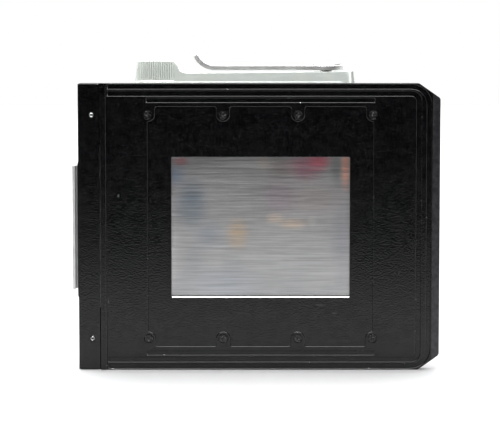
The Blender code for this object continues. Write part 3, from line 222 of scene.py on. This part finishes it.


# Painted reflections on the dark slide, put into its colour as soft patches. Each is a place on the front in
# X and Z, a width and a height, a strength, and a colour
PAINTED_SLIDE_REFLECTIONS = [
    (4.0, 57.0, 60.0, 22.0, 0.22, (0.62, 0.62, 0.62)),
    (4.0, 28.0, 70.0, 26.0, 0.75, (0.40, 0.405, 0.415)),
    (-27.0, 70.0, 9.0, 13.0, 0.75, (0.24, 0.32, 0.40)),
    (-34.0, 82.0, 6.0, 7.0, 0.7, (0.32, 0.40, 0.54)),
    (-31.5, 87.8, 5.0, 2.8, 0.8, (0.60, 0.20, 0.22)),
    (-20.0, 87.5, 26.0, 3.0, 0.5, (0.28, 0.27, 0.27)),
    (-20.0, 57.0, 8.0, 8.0, 0.4, (0.32, 0.38, 0.46)),
    (-26.0, 46.0, 10.0, 9.0, 0.45, (0.33, 0.34, 0.36)),
    (-7.8, 57.3, 6.5, 9.0, 0.8, (0.74, 0.56, 0.38)),
    (10.0, 73.0, 10.0, 12.0, 0.45, (0.50, 0.36, 0.44)),
    (25.0, 72.0, 18.0, 10.0, 0.4, (0.60, 0.47, 0.46)),
    (8.0, 63.6, 6.0, 3.2, 0.75, (0.86, 0.72, 0.60)),
    (15.5, 61.6, 8.5, 3.2, 0.75, (0.84, 0.66, 0.52)),
    (23.5, 62.6, 3.0, 3.0, 0.5, (0.80, 0.76, 0.72)),
    (3.0, 88.0, 4.0, 6.0, 0.4, (0.66, 0.54, 0.42)),
    (10.0, 85.5, 8.0, 7.0, 0.6, (0.34, 0.27, 0.25)),
    (21.0, 86.0, 11.0, 9.0, 0.8, (0.56, 0.22, 0.30)),
    (26.5, 87.8, 7.0, 5.5, 0.9, (0.86, 0.22, 0.28)),
    (34.0, 84.0, 4.0, 9.0, 0.7, (0.26, 0.27, 0.27)),
    (37.6, 85.0, 3.2, 13.0, 0.95, (0.98, 0.52, 0.40)),
    (36.0, 55.0, 6.0, 28.0, 0.45, (0.36, 0.36, 0.42)),
    (-36.0, 55.0, 3.2, 34.0, 0.7, (0.80, 0.78, 0.80)),
    (-14.0, 37.0, 20.0, 10.0, 0.35, (0.44, 0.48, 0.56)),
]


def brushed_steel():
    """Sheet steel brushed along its length, with painted reflections put into its colour as faint coloured
    patches and grey areas.
    """
    made = Finish("brushed_steel", (0.5, 0.5, 0.5), 0.3, 1.0)
    lines = made.noise(0.34, 3.0, (0.016, 1.0, 1.0), 0.7)
    broad = made.noise(1.2, 3.0, (0.03, 1.0, 1.0), 0.6)
    cloud = made.ramp(made.noise(12.0, 4.0), 0.3, 0.7)
    steel = made.blend(cloud, (0.50, 0.50, 0.505), (0.55, 0.545, 0.54))
    # Paints each reflection into the steel's colour as a soft, ragged patch.
    for x, z, width, height, strength, colour in PAINTED_SLIDE_REFLECTIONS:
        ragged = made.ramp(broad, 0.3, 0.65, 0.6, 1.0)
        painted_reflection = made.maths("MULTIPLY", made.ramp(spot(made, x, z, width, height), 0.0, 0.9), ragged)
        steel = made.blend(made.maths("MULTIPLY", painted_reflection, strength), steel, colour)
    grain = made.maths("ADD", made.maths("MULTIPLY", lines, 0.65), made.maths("MULTIPLY", broad, 0.35))
    shade = made.ramp(grain, 0.34, 0.66, 0.80, 1.16)
    glint = made.ramp(made.noise(0.38, 1.0, (0.006, 1.0, 1.0)), 0.68, 0.74, 0.0, 0.16)
    made.paint("Base Color", made.shaded(steel, made.maths("ADD", shade, glint)))
    made.paint("Roughness", made.ramp(lines, 0.3, 0.7, 0.28, 0.36))
    made.relief(grain, 0.004)
    return made.material


def silver_casting():
    """A die casting under fine grey-green silver paint."""
    made = Finish("silver_casting", (0.77, 0.82, 0.77), 0.42, 0.15)
    tone = made.ramp(made.noise(11.0, 4.0), 0.3, 0.7)
    silver = made.blend(tone, (0.81, 0.87, 0.83), (0.88, 0.92, 0.86))
    grain = made.ramp(made.noise(0.3, 3.0), 0.3, 0.7)
    silver = made.blend(made.maths("MULTIPLY", grain, 0.12), silver, (0.50, 0.54, 0.51))
    # Painted shade: the flute valleys are darkened in the casting's colour.
    silver = made.blend(made.maths("MULTIPLY", made.mark("painted_recess_shade"), 0.6), silver, (0.34, 0.37, 0.30))
    wear = made.maths("MULTIPLY", made.mark("rounded_edge"), made.ramp(made.noise(1.6, 5.0), 0.56, 0.66))
    made.paint("Base Color", made.blend(wear, silver, (0.8, 0.8, 0.78)))
    made.paint("Roughness", made.ramp(made.noise(2.5, 4.0), 0.3, 0.7, 0.36, 0.5))
    made.relief(made.noise(0.22, 2.0), 0.012)
    return made.material


def satin_chrome():
    made = Finish("satin_chrome", (0.82, 0.82, 0.83), 0.24, 0.85)
    smudge = made.ramp(made.noise(6.0, 5.0), 0.35, 0.7)
    satin = made.blend(smudge, (0.78, 0.78, 0.79), (0.88, 0.88, 0.88))
    # Painted shade: the inside of each rivet's hole is painted near-black.
    made.paint("Base Color", made.blend(made.mark("painted_recess_shade"), satin, (0.01, 0.01, 0.01)))
    made.paint("Roughness", made.ramp(made.noise(2.2, 5.0), 0.3, 0.7, 0.18, 0.32))
    made.relief(made.noise(0.15, 2.0, (0.2, 1.0, 1.0)), 0.002)
    return made.material


def satin_aluminium():
    """Pale satin metal, dulled by handling."""
    made = Finish("satin_aluminium", (0.62, 0.62, 0.61), 0.38, 0.6)
    smudge = made.ramp(made.noise(5.0, 5.0), 0.35, 0.7)
    satin = made.blend(smudge, (0.56, 0.56, 0.555), (0.66, 0.66, 0.65))
    pits = made.ramp(made.noise(0.5, 2.0), 0.68, 0.76)
    made.paint("Base Color", made.blend(made.maths("MULTIPLY", pits, 0.5), satin, (0.5, 0.5, 0.5)))
    made.paint("Roughness", made.ramp(made.noise(2.0, 5.0), 0.3, 0.7, 0.32, 0.46))
    made.relief(made.noise(0.16, 2.0, (0.3, 1.0, 1.0)), 0.003)
    return made.material


def gear_brass():
    made = Finish("gear_brass", (0.6, 0.42, 0.16), 0.35, 1.0)
    tone = made.ramp(made.noise(4.0, 4.0), 0.3, 0.7)
    made.paint("Base Color", made.blend(tone, (0.52, 0.35, 0.13), (0.70, 0.50, 0.22)))
    made.paint("Roughness", made.ramp(made.noise(1.0, 4.0), 0.3, 0.7, 0.25, 0.45))
    made.relief(made.noise(0.2, 2.0), 0.004)
    return made.material


def black_felt():
    made = Finish("black_felt", (0.01, 0.01, 0.01), 0.95, Sheen_Weight=0.4)
    fibres = made.noise(0.12, 5.0, (1.0, 1.0, 0.3), 0.8)
    made.paint("Base Color", made.blend(fibres, (0.004, 0.004, 0.004), (0.035, 0.034, 0.033)))
    made.relief(fibres, 0.12)
    return made.material


def leatherette():
    """Black pressed grain, shiny on its hills."""
    made = Finish("black_leatherette", (0.016, 0.016, 0.016), 0.5)
    valleys = made.ramp(made.cells(1.5, "DISTANCE_TO_EDGE"), 0.0, 0.22)
    pores = made.noise(0.35, 3.0)
    made.relief(made.maths("ADD", valleys, made.maths("MULTIPLY", pores, 0.35)), 0.16)
    made.paint("Base Color", made.blend(valleys, (0.006, 0.006, 0.006), (0.022, 0.021, 0.021)))
    made.paint("Roughness", made.ramp(valleys, 0.0, 1.0, 0.75, 0.42))
    return made.material


def black_plastic():
    made = Finish("black_plastic", (0.02, 0.02, 0.022), 0.35)
    tone = made.ramp(made.noise(5.0, 4.0), 0.3, 0.7)
    made.paint("Base Color", made.blend(tone, (0.014, 0.014, 0.015), (0.028, 0.028, 0.030)))
    made.paint("Roughness", made.ramp(made.noise(0.8, 4.0), 0.3, 0.7, 0.28, 0.45))
    made.relief(made.noise(0.18, 2.0), 0.006)
    return made.material


def dial_white():
    made = Finish("dial_white", (0.75, 0.75, 0.72), 0.5)
    tone = made.ramp(made.noise(3.0, 4.0), 0.3, 0.7)
    made.paint("Base Color", made.blend(tone, (0.70, 0.69, 0.65), (0.80, 0.80, 0.77)))
    made.relief(made.noise(0.3, 2.0), 0.003)
    return made.material


def clear_window():
    made = Finish("clear_window", (0.95, 0.97, 0.97), 0.03, Transmission_Weight=1.0, IOR=1.49)
    made.paint("Roughness", made.ramp(made.noise(2.0, 5.0), 0.45, 0.75, 0.02, 0.12))
    return made.material


FINISHES = {
    "black_wrinkle_lacquer": wrinkle_lacquer(),
    "blackened_steel": blackened_steel(),
    "brushed_steel": brushed_steel(),
    "silver_casting": silver_casting(),
    "satin_chrome": satin_chrome(),
    "satin_aluminium": satin_aluminium(),
    "gear_brass": gear_brass(),
    "black_felt": black_felt(),
    "black_leatherette": leatherette(),
    "black_plastic": black_plastic(),
    "dial_white": dial_white(),
    "clear_window": clear_window(),
}


# Pieces


def shown_piece(name, solid):
    """A solid as an object of its own, with even shading on its flat faces."""
    mesh = bpy.data.meshes.new(name)
    solid.to_mesh(mesh)
    solid.free()
    mesh.shade_smooth()
    mesh.set_sharp_from_angle(angle=SMOOTH_ANGLE)
    piece = bpy.data.objects.new(name, mesh)
    bpy.context.scene.collection.objects.link(piece)
    even = piece.modifiers.new("even_shading", "WEIGHTED_NORMAL")
    even.keep_sharp = True
    return piece


def stand_for(name, solid, node):
    """Puts a detailed mesh in the place of a CAD node, on the same body and in the same finish."""
    piece = shown_piece(name, solid)
    piece.data.materials.append(FINISHES[slot_of_node[node]])
    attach(piece, body_of_node[node])
    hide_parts(node)


def cleaned(node):
    """A CAD node's mesh, with its flat faces whole again."""
    solid = bmesh.new()
    solid.from_mesh(nodes[node].data)
    bmesh.ops.remove_doubles(solid, verts=solid.verts, dist=WELD)
    bmesh.ops.dissolve_limit(solid, angle_limit=FLAT_ANGLE, verts=solid.verts, edges=solid.edges)
    return solid


def ease(solid, width, steps=2, chosen=lambda at: True, mark="rounded_edge", convex=False):
    """Rounds a solid's sharp edges, and marks the new faces."""
    layer = solid.faces.layers.float.get(mark) or solid.faces.layers.float.new(mark)
    edges = []
    for edge in solid.edges:
        sharp = edge.is_manifold and edge.calc_face_angle(0.0) > SHARP_ANGLE
        if sharp and (edge.is_convex or not convex) and chosen((edge.verts[0].co + edge.verts[1].co) / 2):
            edges.append(edge)
    made = bmesh.ops.bevel(
        solid,
        geom=edges,
        offset=width * MM,
        segments=steps,
        profile=0.5,
        affect="EDGES",
        clamp_overlap=False,
    )
    for face in made["faces"]:
        face[layer] = 1.0
    return solid


def refined(node, width):
    """Puts a copy of a CAD node in its place, with its edges eased."""
    stand_for(node + "_eased", ease(cleaned(node), width), node)


def centre(node):
    low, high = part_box(node)
    return (low + high) / 2


def carved(solid, cutter):
    """One solid cut by another."""
    items = []
    for shape in (solid, cutter):
        mesh = bpy.data.meshes.new("carving")
        shape.to_mesh(mesh)
        shape.free()
        items.append(bpy.data.objects.new("carving", mesh))
        bpy.context.scene.collection.objects.link(items[-1])
    cut = items[0].modifiers.new("cut", "BOOLEAN")
    cut.operation, cut.object, cut.solver = "DIFFERENCE", items[1], "EXACT"
    result = bmesh.new()
    result.from_object(items[0], bpy.context.evaluated_depsgraph_get())
    for item in items:
        bpy.data.objects.remove(item, do_unlink=True)
    return result


def prism(outline, low, high):
    """An outline in X and Y, raised along Z."""
    solid = bmesh.new()
    floor = solid.faces.new([solid.verts.new((x, y, low)) for x, y in outline])
    raised = bmesh.ops.extrude_face_region(solid, geom=[floor])
    top = [v for v in raised["geom"] if isinstance(v, bmesh.types.BMVert)]
    bmesh.ops.translate(solid, vec=(0, 0, high - low), verts=top)
    bmesh.ops.recalc_face_normals(solid, faces=solid.faces)
    return solid


def seamed(solid, x):
    """Splits a solid's faces at one place in X, so that a face round a groove is two plain outlines."""
    geom = solid.verts[:] + solid.edges[:] + solid.faces[:]
    made = bmesh.ops.bisect_plane(solid, geom=geom, plane_co=(x, 0, 0), plane_no=(1, 0, 0))
    seam = set(made["geom_cut"])
    others = [edge for edge in solid.edges if edge not in seam]
    verts = [vert for vert in solid.verts if vert not in seam]
    bmesh.ops.dissolve_limit(solid, angle_limit=FLAT_ANGLE, verts=verts, edges=others)
    return solid


SCREWS = [f"face_screw_{i}" for i in range(1, 9)]
CORNER_X = 9.0 * MM
CORNER_Z = 6.3 * MM
RIB_H = 0.8 * MM
FIELD_DEPTH = 0.5 * MM
WINDOW_EDGE = 0.26
RIM_EDGE = 0.15
SHOULDER = 0.4
SEAM_OFF = 3.0 * MM
SCREW_REACH = 2.1 * MM
RIM_REACH = 0.4 * MM
CORNER_REACH = 0.07
LAYER = 0.2 * MM
WINDOW_REACH_X = 0.82
WINDOW_REACH_Z = 0.66


def make_front_plate():
    """The ribbed and grooved face, with soft shoulders. The window's lower edge is worn to bare metal."""
    low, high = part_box("front_plate")
    land = low.y + RIB_H
    screws = [centre(name) for name in SCREWS]
    gate = sum((s.x for s in screws)) / len(screws)
    solid = seamed(cleaned("front_plate"), gate + SEAM_OFF)
    middle = (low.z + high.z) / 2
    pitch = max(s.x for s in screws) - gate

    def in_front(at):
        return at.y < land + LAYER

    def by_screw(at):
        return min((Vector((at.x, at.z)) - Vector((s.x, s.z))).length for s in screws) < SCREW_REACH

    def by_window(at):
        return abs(at.x - gate) < pitch * WINDOW_REACH_X and abs(at.z - middle) < pitch * WINDOW_REACH_Z

    def on_rim(at):
        up = min(at.z - low.z, high.z - at.z)
        off_corner = (high.x - at.x) / CORNER_X + up / CORNER_Z - 1.0
        return min(up, at.x - low.x, high.x - at.x) < RIM_REACH or abs(off_corner) < CORNER_REACH

    def elsewhere(at):
        return in_front(at) and not (by_screw(at) or by_window(at) or on_rim(at))

    def round_window(at):
        return at.y < land + FIELD_DEPTH + LAYER and by_window(at)

    ease(solid, WINDOW_EDGE, 1, round_window, "bare_metal", convex=True)
    ease(solid, SHOULDER, 3, elsewhere, convex=True)
    ease(solid, RIM_EDGE, 2, lambda at: in_front(at) and on_rim(at), convex=True)
    ease(solid, RIM_EDGE / 2, 2, lambda at: in_front(at) and by_screw(at), convex=True)
    bared = solid.faces.layers.float["bare_metal"]
    # Marks the faces of the sloped strip at the right end, which get a painted sheen in the lacquer's
    # colour.
    painted_slope_sheen = solid.faces.layers.float.new("painted_slope_sheen")
    for face in solid.faces:
        if face.normal.z < 0.3:
            face[bared] = 0.0
        face[painted_slope_sheen] = float(0.08 < face.normal.x < 0.4 and face.normal.y < -0.9)
    stand_for("front_plate_grooved", solid, "front_plate")


FLUTE_PITCH = 0.95
FLUTE_DEPTH = 0.36
FLUTE_BACK = 0.46
FLUTES = 19
BLOCK_LENGTH = 17.4
BLOCK_RADIUS = 6.0 * MM
STEPS_A_FLUTE = 6


def make_winding_housing():
    """The silver casting, with rounded flutes down the front of its block."""
    low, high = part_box("winding_housing")
    right = low.x + BLOCK_LENGTH * MM
    radius = BLOCK_RADIUS
    straight = right - low.x - radius
    points = [(right, low.y - 3 * MM), (low.x - 3 * MM, low.y - 3 * MM), (low.x - 3 * MM, low.y + radius)]
    edge = []
    for i in range(FLUTES * STEPS_A_FLUTE + 1):
        run = i * FLUTE_PITCH * MM / STEPS_A_FLUTE
        dip = (FLUTE_BACK + FLUTE_DEPTH * (1 - math.sin(math.pi * (i % STEPS_A_FLUTE) / STEPS_A_FLUTE))) * MM
        if run <= straight:
            edge.append((right - run, low.y + dip))
        else:
            angle = -math.pi / 2 - (run - straight) / radius
            reach = radius - dip
            edge.append((low.x + radius + reach * math.cos(angle), low.y + radius + reach * math.sin(angle)))
    cutter = prism(points + edge[::-1], low.z - MM, high.z + MM)
    solid = carved(cleaned("winding_housing"), cutter)
    bmesh.ops.dissolve_limit(solid, angle_limit=FLAT_ANGLE, verts=solid.verts, edges=solid.edges)
    # Marks the flute valleys for painted shade in the casting's colour.
    painted_recess_shade = solid.faces.layers.float.new("painted_recess_shade")
    for face in solid.faces:
        at = face.calc_center_median()
        if at.x < right and at.y < low.y + 2 * radius and abs(face.normal.z) < 0.5:
            face[painted_recess_shade] = valley(at, low, right, radius, straight)
    stand_for("winding_housing_fluted", solid, "winding_housing")
    make_housing_foot(low, high)


def valley(at, low, right, radius, straight):
    """1 in the bottom of a flute, and 0 on its ridge: how strongly painted shade darkens it."""
    turn = math.atan2(-(at.x - low.x - radius), -(at.y - low.y - radius)) if at.x < low.x + radius else 0.0
    run = straight + turn * radius if turn else right - at.x
    return 1.0 - math.sin(math.pi * (run / (FLUTE_PITCH * MM) % 1.0)) ** 0.7


FOOT_HIGH = 121.35 * MM
FOOT_OUT = 0.2 * MM
FOOT_INSET = 0.3 * MM
FOOT_SIDE = 1.4 * MM
FOOT_DEEP = 1.8 * MM
FOOT_TALL = 2.4 * MM
FOOT_CHAMFER = 0.7


def make_housing_foot(low, high):
    """A bead round the casting's foot, where its front meets the plate. Its top is a bright chamfer."""
    radius = BLOCK_RADIUS
    left, right, front = low.x + FOOT_INSET, high.x - 2 * FOOT_INSET, low.y - FOOT_OUT
    outline = []
    for i in range(7):
        turn = math.radians(180 + 15 * i)
        outline.append((left + radius * (1 + math.cos(turn)), front + radius * (1 + math.sin(turn))))
    for i in range(7):
        turn = math.radians(270 + 15 * i)
        outline.append((right - radius * (1 - math.cos(turn)), front + radius * (1 + math.sin(turn))))
    outline += [(right - FOOT_SIDE, front + radius), (right - radius, front + FOOT_DEEP)]
    outline += [(left + radius, front + FOOT_DEEP), (left + FOOT_SIDE, front + radius)]

    def outside(at):
        """Whether a point is on the bead's outer edge, and not on the edge inside the casting."""
        past = max(left + radius - at.x, at.x - right + radius, 0.0)
        return math.hypot(past, min(at.y - front - radius, 0.0)) > radius - 0.3 * MM

    solid = prism(outline, FOOT_HIGH - FOOT_TALL, FOOT_HIGH)
    def on_top(at):
        return at.z > FOOT_HIGH - 0.1 * MM and at.y < front + 0.9 * radius and outside(at)

    ease(solid, FOOT_CHAMFER, 1, on_top)
    piece = shown_piece("housing_foot", solid)
    piece.data.materials.append(FINISHES["silver_casting"])
    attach(piece, body_of_node["winding_housing"])


RIVET_RIM = 0.3
RIVET_HOLE = 0.55
RIVET_DEPTH = 0.9
RIVET_SHANK = RIVET_HOLE + 0.1
RIVET_SEAT = 0.5
RIVET_SHOULDER = 1.2


def make_cover_rivets():
    """The slide cover's two hollow rivets: a bright rolled rim round a hole painted near-black as painted
    shade.
    """
    for index in (1, 2):
        node = f"cover_screw_{index}"
        low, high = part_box(node)
        middle = (low + high) / 2
        head = (high.x - low.x) / 2 / MM
        profile = [(0.0, high.y / MM), (RIVET_SHANK, high.y / MM)]
        profile += [(RIVET_SHANK, low.y / MM + RIVET_SHOULDER), (head, low.y / MM + RIVET_SEAT)]
        for i in range(9):
            turn = math.pi * i / 8
            reach = (head - RIVET_HOLE) / 2
            out, up = head - reach + reach * math.cos(turn), RIVET_RIM * math.sin(turn)
            profile.append((out, low.y / MM + RIVET_RIM - up))
        profile += [(RIVET_HOLE, low.y / MM + RIVET_DEPTH), (0.0, low.y / MM + RIVET_DEPTH)]
        solid = bmesh.new()
        points = [solid.verts.new((middle.x + out * MM, y * MM, middle.z)) for out, y in profile]
        edges = [solid.edges.new(pair) for pair in zip(points, points[1:])]
        bmesh.ops.spin(
            solid,
            geom=points + edges,
            cent=middle,
            axis=(0, 1, 0),
            angle=2 * math.pi,
            steps=28,
            use_merge=True,
        )
        bmesh.ops.remove_doubles(solid, verts=solid.verts, dist=WELD)
        bmesh.ops.recalc_face_normals(solid, faces=solid.faces)
        # Marks the inside of the hole for painted shade, near-black.
        painted_recess_shade = solid.faces.layers.float.new("painted_recess_shade")
        for face in solid.faces:
            at = face.calc_center_median()
            off = math.hypot(at.x - middle.x, at.z - middle.z)
            face[painted_recess_shade] = float(off < RIVET_HOLE * MM * 1.02 and at.y > low.y + RIVET_RIM * MM)
        stand_for(node + "_rolled", solid, node)


EASED = {
    "rear_plate": 0.25,
    "slide_cover": 0.12,
    "magazine_body": 0.25,
    "rear_door": 0.25,
    "winding_lever": 0.2,
    "slide_pull": 0.15,
    "memo_frame": 0.15,
    "door_latch": 0.05,
    "release_button": 0.12,
    "supply_knob": 0.15,
    "take_up_knob": 0.15,
    "face_screw_1": 0.08,
}
for name in SCREWS[1:]:
    EASED[name] = EASED["face_screw_1"]
for node, width in EASED.items():
    refined(node, width)
make_front_plate()
make_cover_rivets()
make_winding_housing()
for name, item in nodes.items():
    if not item.hide_render:
        item.data.materials.clear()
        item.data.materials.append(FINISHES[slot_of_node[name]])


# Floor, light and camera


ROOM_LIGHT = 0.02
TABLE_FRONT = -0.38
TABLE_DEPTH = 4.0


def make_floor():
    """A white table that ends a little in front of the holder."""
    material = Finish("pale_floor", (0.9, 0.9, 0.9), 0.6)
    tone = material.ramp(material.noise(300.0, 2.0), 0.3, 0.7)
    material.paint("Base Color", material.blend(tone, (0.88, 0.88, 0.885), (0.91, 0.91, 0.91)))
    bpy.ops.mesh.primitive_plane_add(size=1.0, location=(0, TABLE_FRONT + TABLE_DEPTH / 2, 0))
    floor = bpy.context.object
    floor.scale = (4.0, TABLE_DEPTH, 1.0)
    floor.name = "floor"
    floor.data.materials.append(material.material)


def make_light(name, place, aim, size, power):
    data = bpy.data.lights.new(name, "AREA")
    data.shape = "RECTANGLE"
    data.size, data.size_y = size
    data.energy = power
    lamp = bpy.data.objects.new(name, data)
    lamp.location = place
    lamp.rotation_euler = (Vector(aim) - Vector(place)).to_track_quat("-Z", "Y").to_euler()
    bpy.context.scene.collection.objects.link(lamp)
    return lamp


def make_world():
    """White behind and above, and a dim room in front. A white backdrop fills every view."""
    world = bpy.data.worlds.new("studio")
    world.use_nodes = True
    tree = world.node_tree
    room = tree.nodes["Background"]
    direction = tree.nodes.new("ShaderNodeTexCoord").outputs["Generated"]
    split = tree.nodes.new("ShaderNodeSeparateXYZ")
    tree.links.new(direction, split.inputs["Vector"])
    spread = tree.nodes.new("ShaderNodeMapRange")
    spread.interpolation_type = "SMOOTHSTEP"
    spread.inputs["From Min"].default_value = -0.6
    spread.inputs["From Max"].default_value = 0.5
    spread.inputs["To Min"].default_value = ROOM_LIGHT
    spread.inputs["To Max"].default_value = 1.0
    dimmer = tree.nodes.new("ShaderNodeMath")
    dimmer.operation = "MULTIPLY_ADD"
    dimmer.inputs[1].default_value = -0.35
    tree.links.new(split.outputs["X"], dimmer.inputs[0])
    tree.links.new(split.outputs["Y"], dimmer.inputs[2])
    tree.links.new(dimmer.outputs["Value"], spread.inputs["Value"])
    tree.links.new(spread.outputs["Result"], room.inputs["Strength"])
    room.inputs["Color"].default_value = (0.97, 0.985, 1.0, 1.0)
    backdrop = tree.nodes.new("ShaderNodeBackground")
    backdrop.inputs["Color"].default_value = (1.0, 1.0, 1.0, 1.0)
    seen = tree.nodes.new("ShaderNodeLightPath").outputs["Is Camera Ray"]
    choice = tree.nodes.new("ShaderNodeMixShader")
    tree.links.new(seen, choice.inputs["Fac"])
    tree.links.new(room.outputs["Background"], choice.inputs[1])
    tree.links.new(backdrop.outputs["Background"], choice.inputs[2])
    tree.links.new(choice.outputs["Shader"], tree.nodes["World Output"].inputs["Surface"])
    bpy.context.scene.world = world


CAMERA_DISTANCE = 0.9
CAMERA_TILT = math.radians(4.7)
VIEW_WIDTH = 0.2092
AIM_LEFT = 3.77 * MM
AIM_UP = 0.5345


def make_camera():
    """Level with the middle of the plate and a little above it, as the photograph was taken."""
    low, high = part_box("rear_plate")
    aim = Vector(((low.x + high.x) / 2 - AIM_LEFT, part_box("front_plate")[0].y, high.z * AIM_UP))
    back = Vector((0.0, -math.cos(CAMERA_TILT), math.sin(CAMERA_TILT)))
    data = bpy.data.cameras.new("camera")
    data.sensor_width = 36.0
    data.lens = 36.0 * CAMERA_DISTANCE / VIEW_WIDTH
    data.clip_start = 0.05
    camera = bpy.data.objects.new("camera", data)
    camera.location = aim + back * CAMERA_DISTANCE
    camera.rotation_euler = (-back).to_track_quat("-Z", "Y").to_euler()
    bpy.context.scene.collection.objects.link(camera)
    bpy.context.scene.camera = camera


make_floor()
make_world()
make_light("overhead", (0.0, 1.9, 2.2), (0.0, 1.9, 0.0), (4.0, 3.8), 108.0)
gleam = make_light("gleam", (0.0, -0.10, 0.9), (0.0, -0.10, 0.0), (1.4, 1.1), 50.0)
gleam.visible_diffuse = False
make_light("front_top", (0.0, -0.70, 0.95), (0.0, 0.0, 0.06), (1.4, 0.5), 4.0)
fill = make_light("front_fill", (-0.5, -1.2, 0.6), (0.0, 0.0, 0.06), (2.0, 1.0), 14.0)
fill.visible_glossy = False
make_camera()
bpy.context.scene.view_settings.view_transform = "Standard"
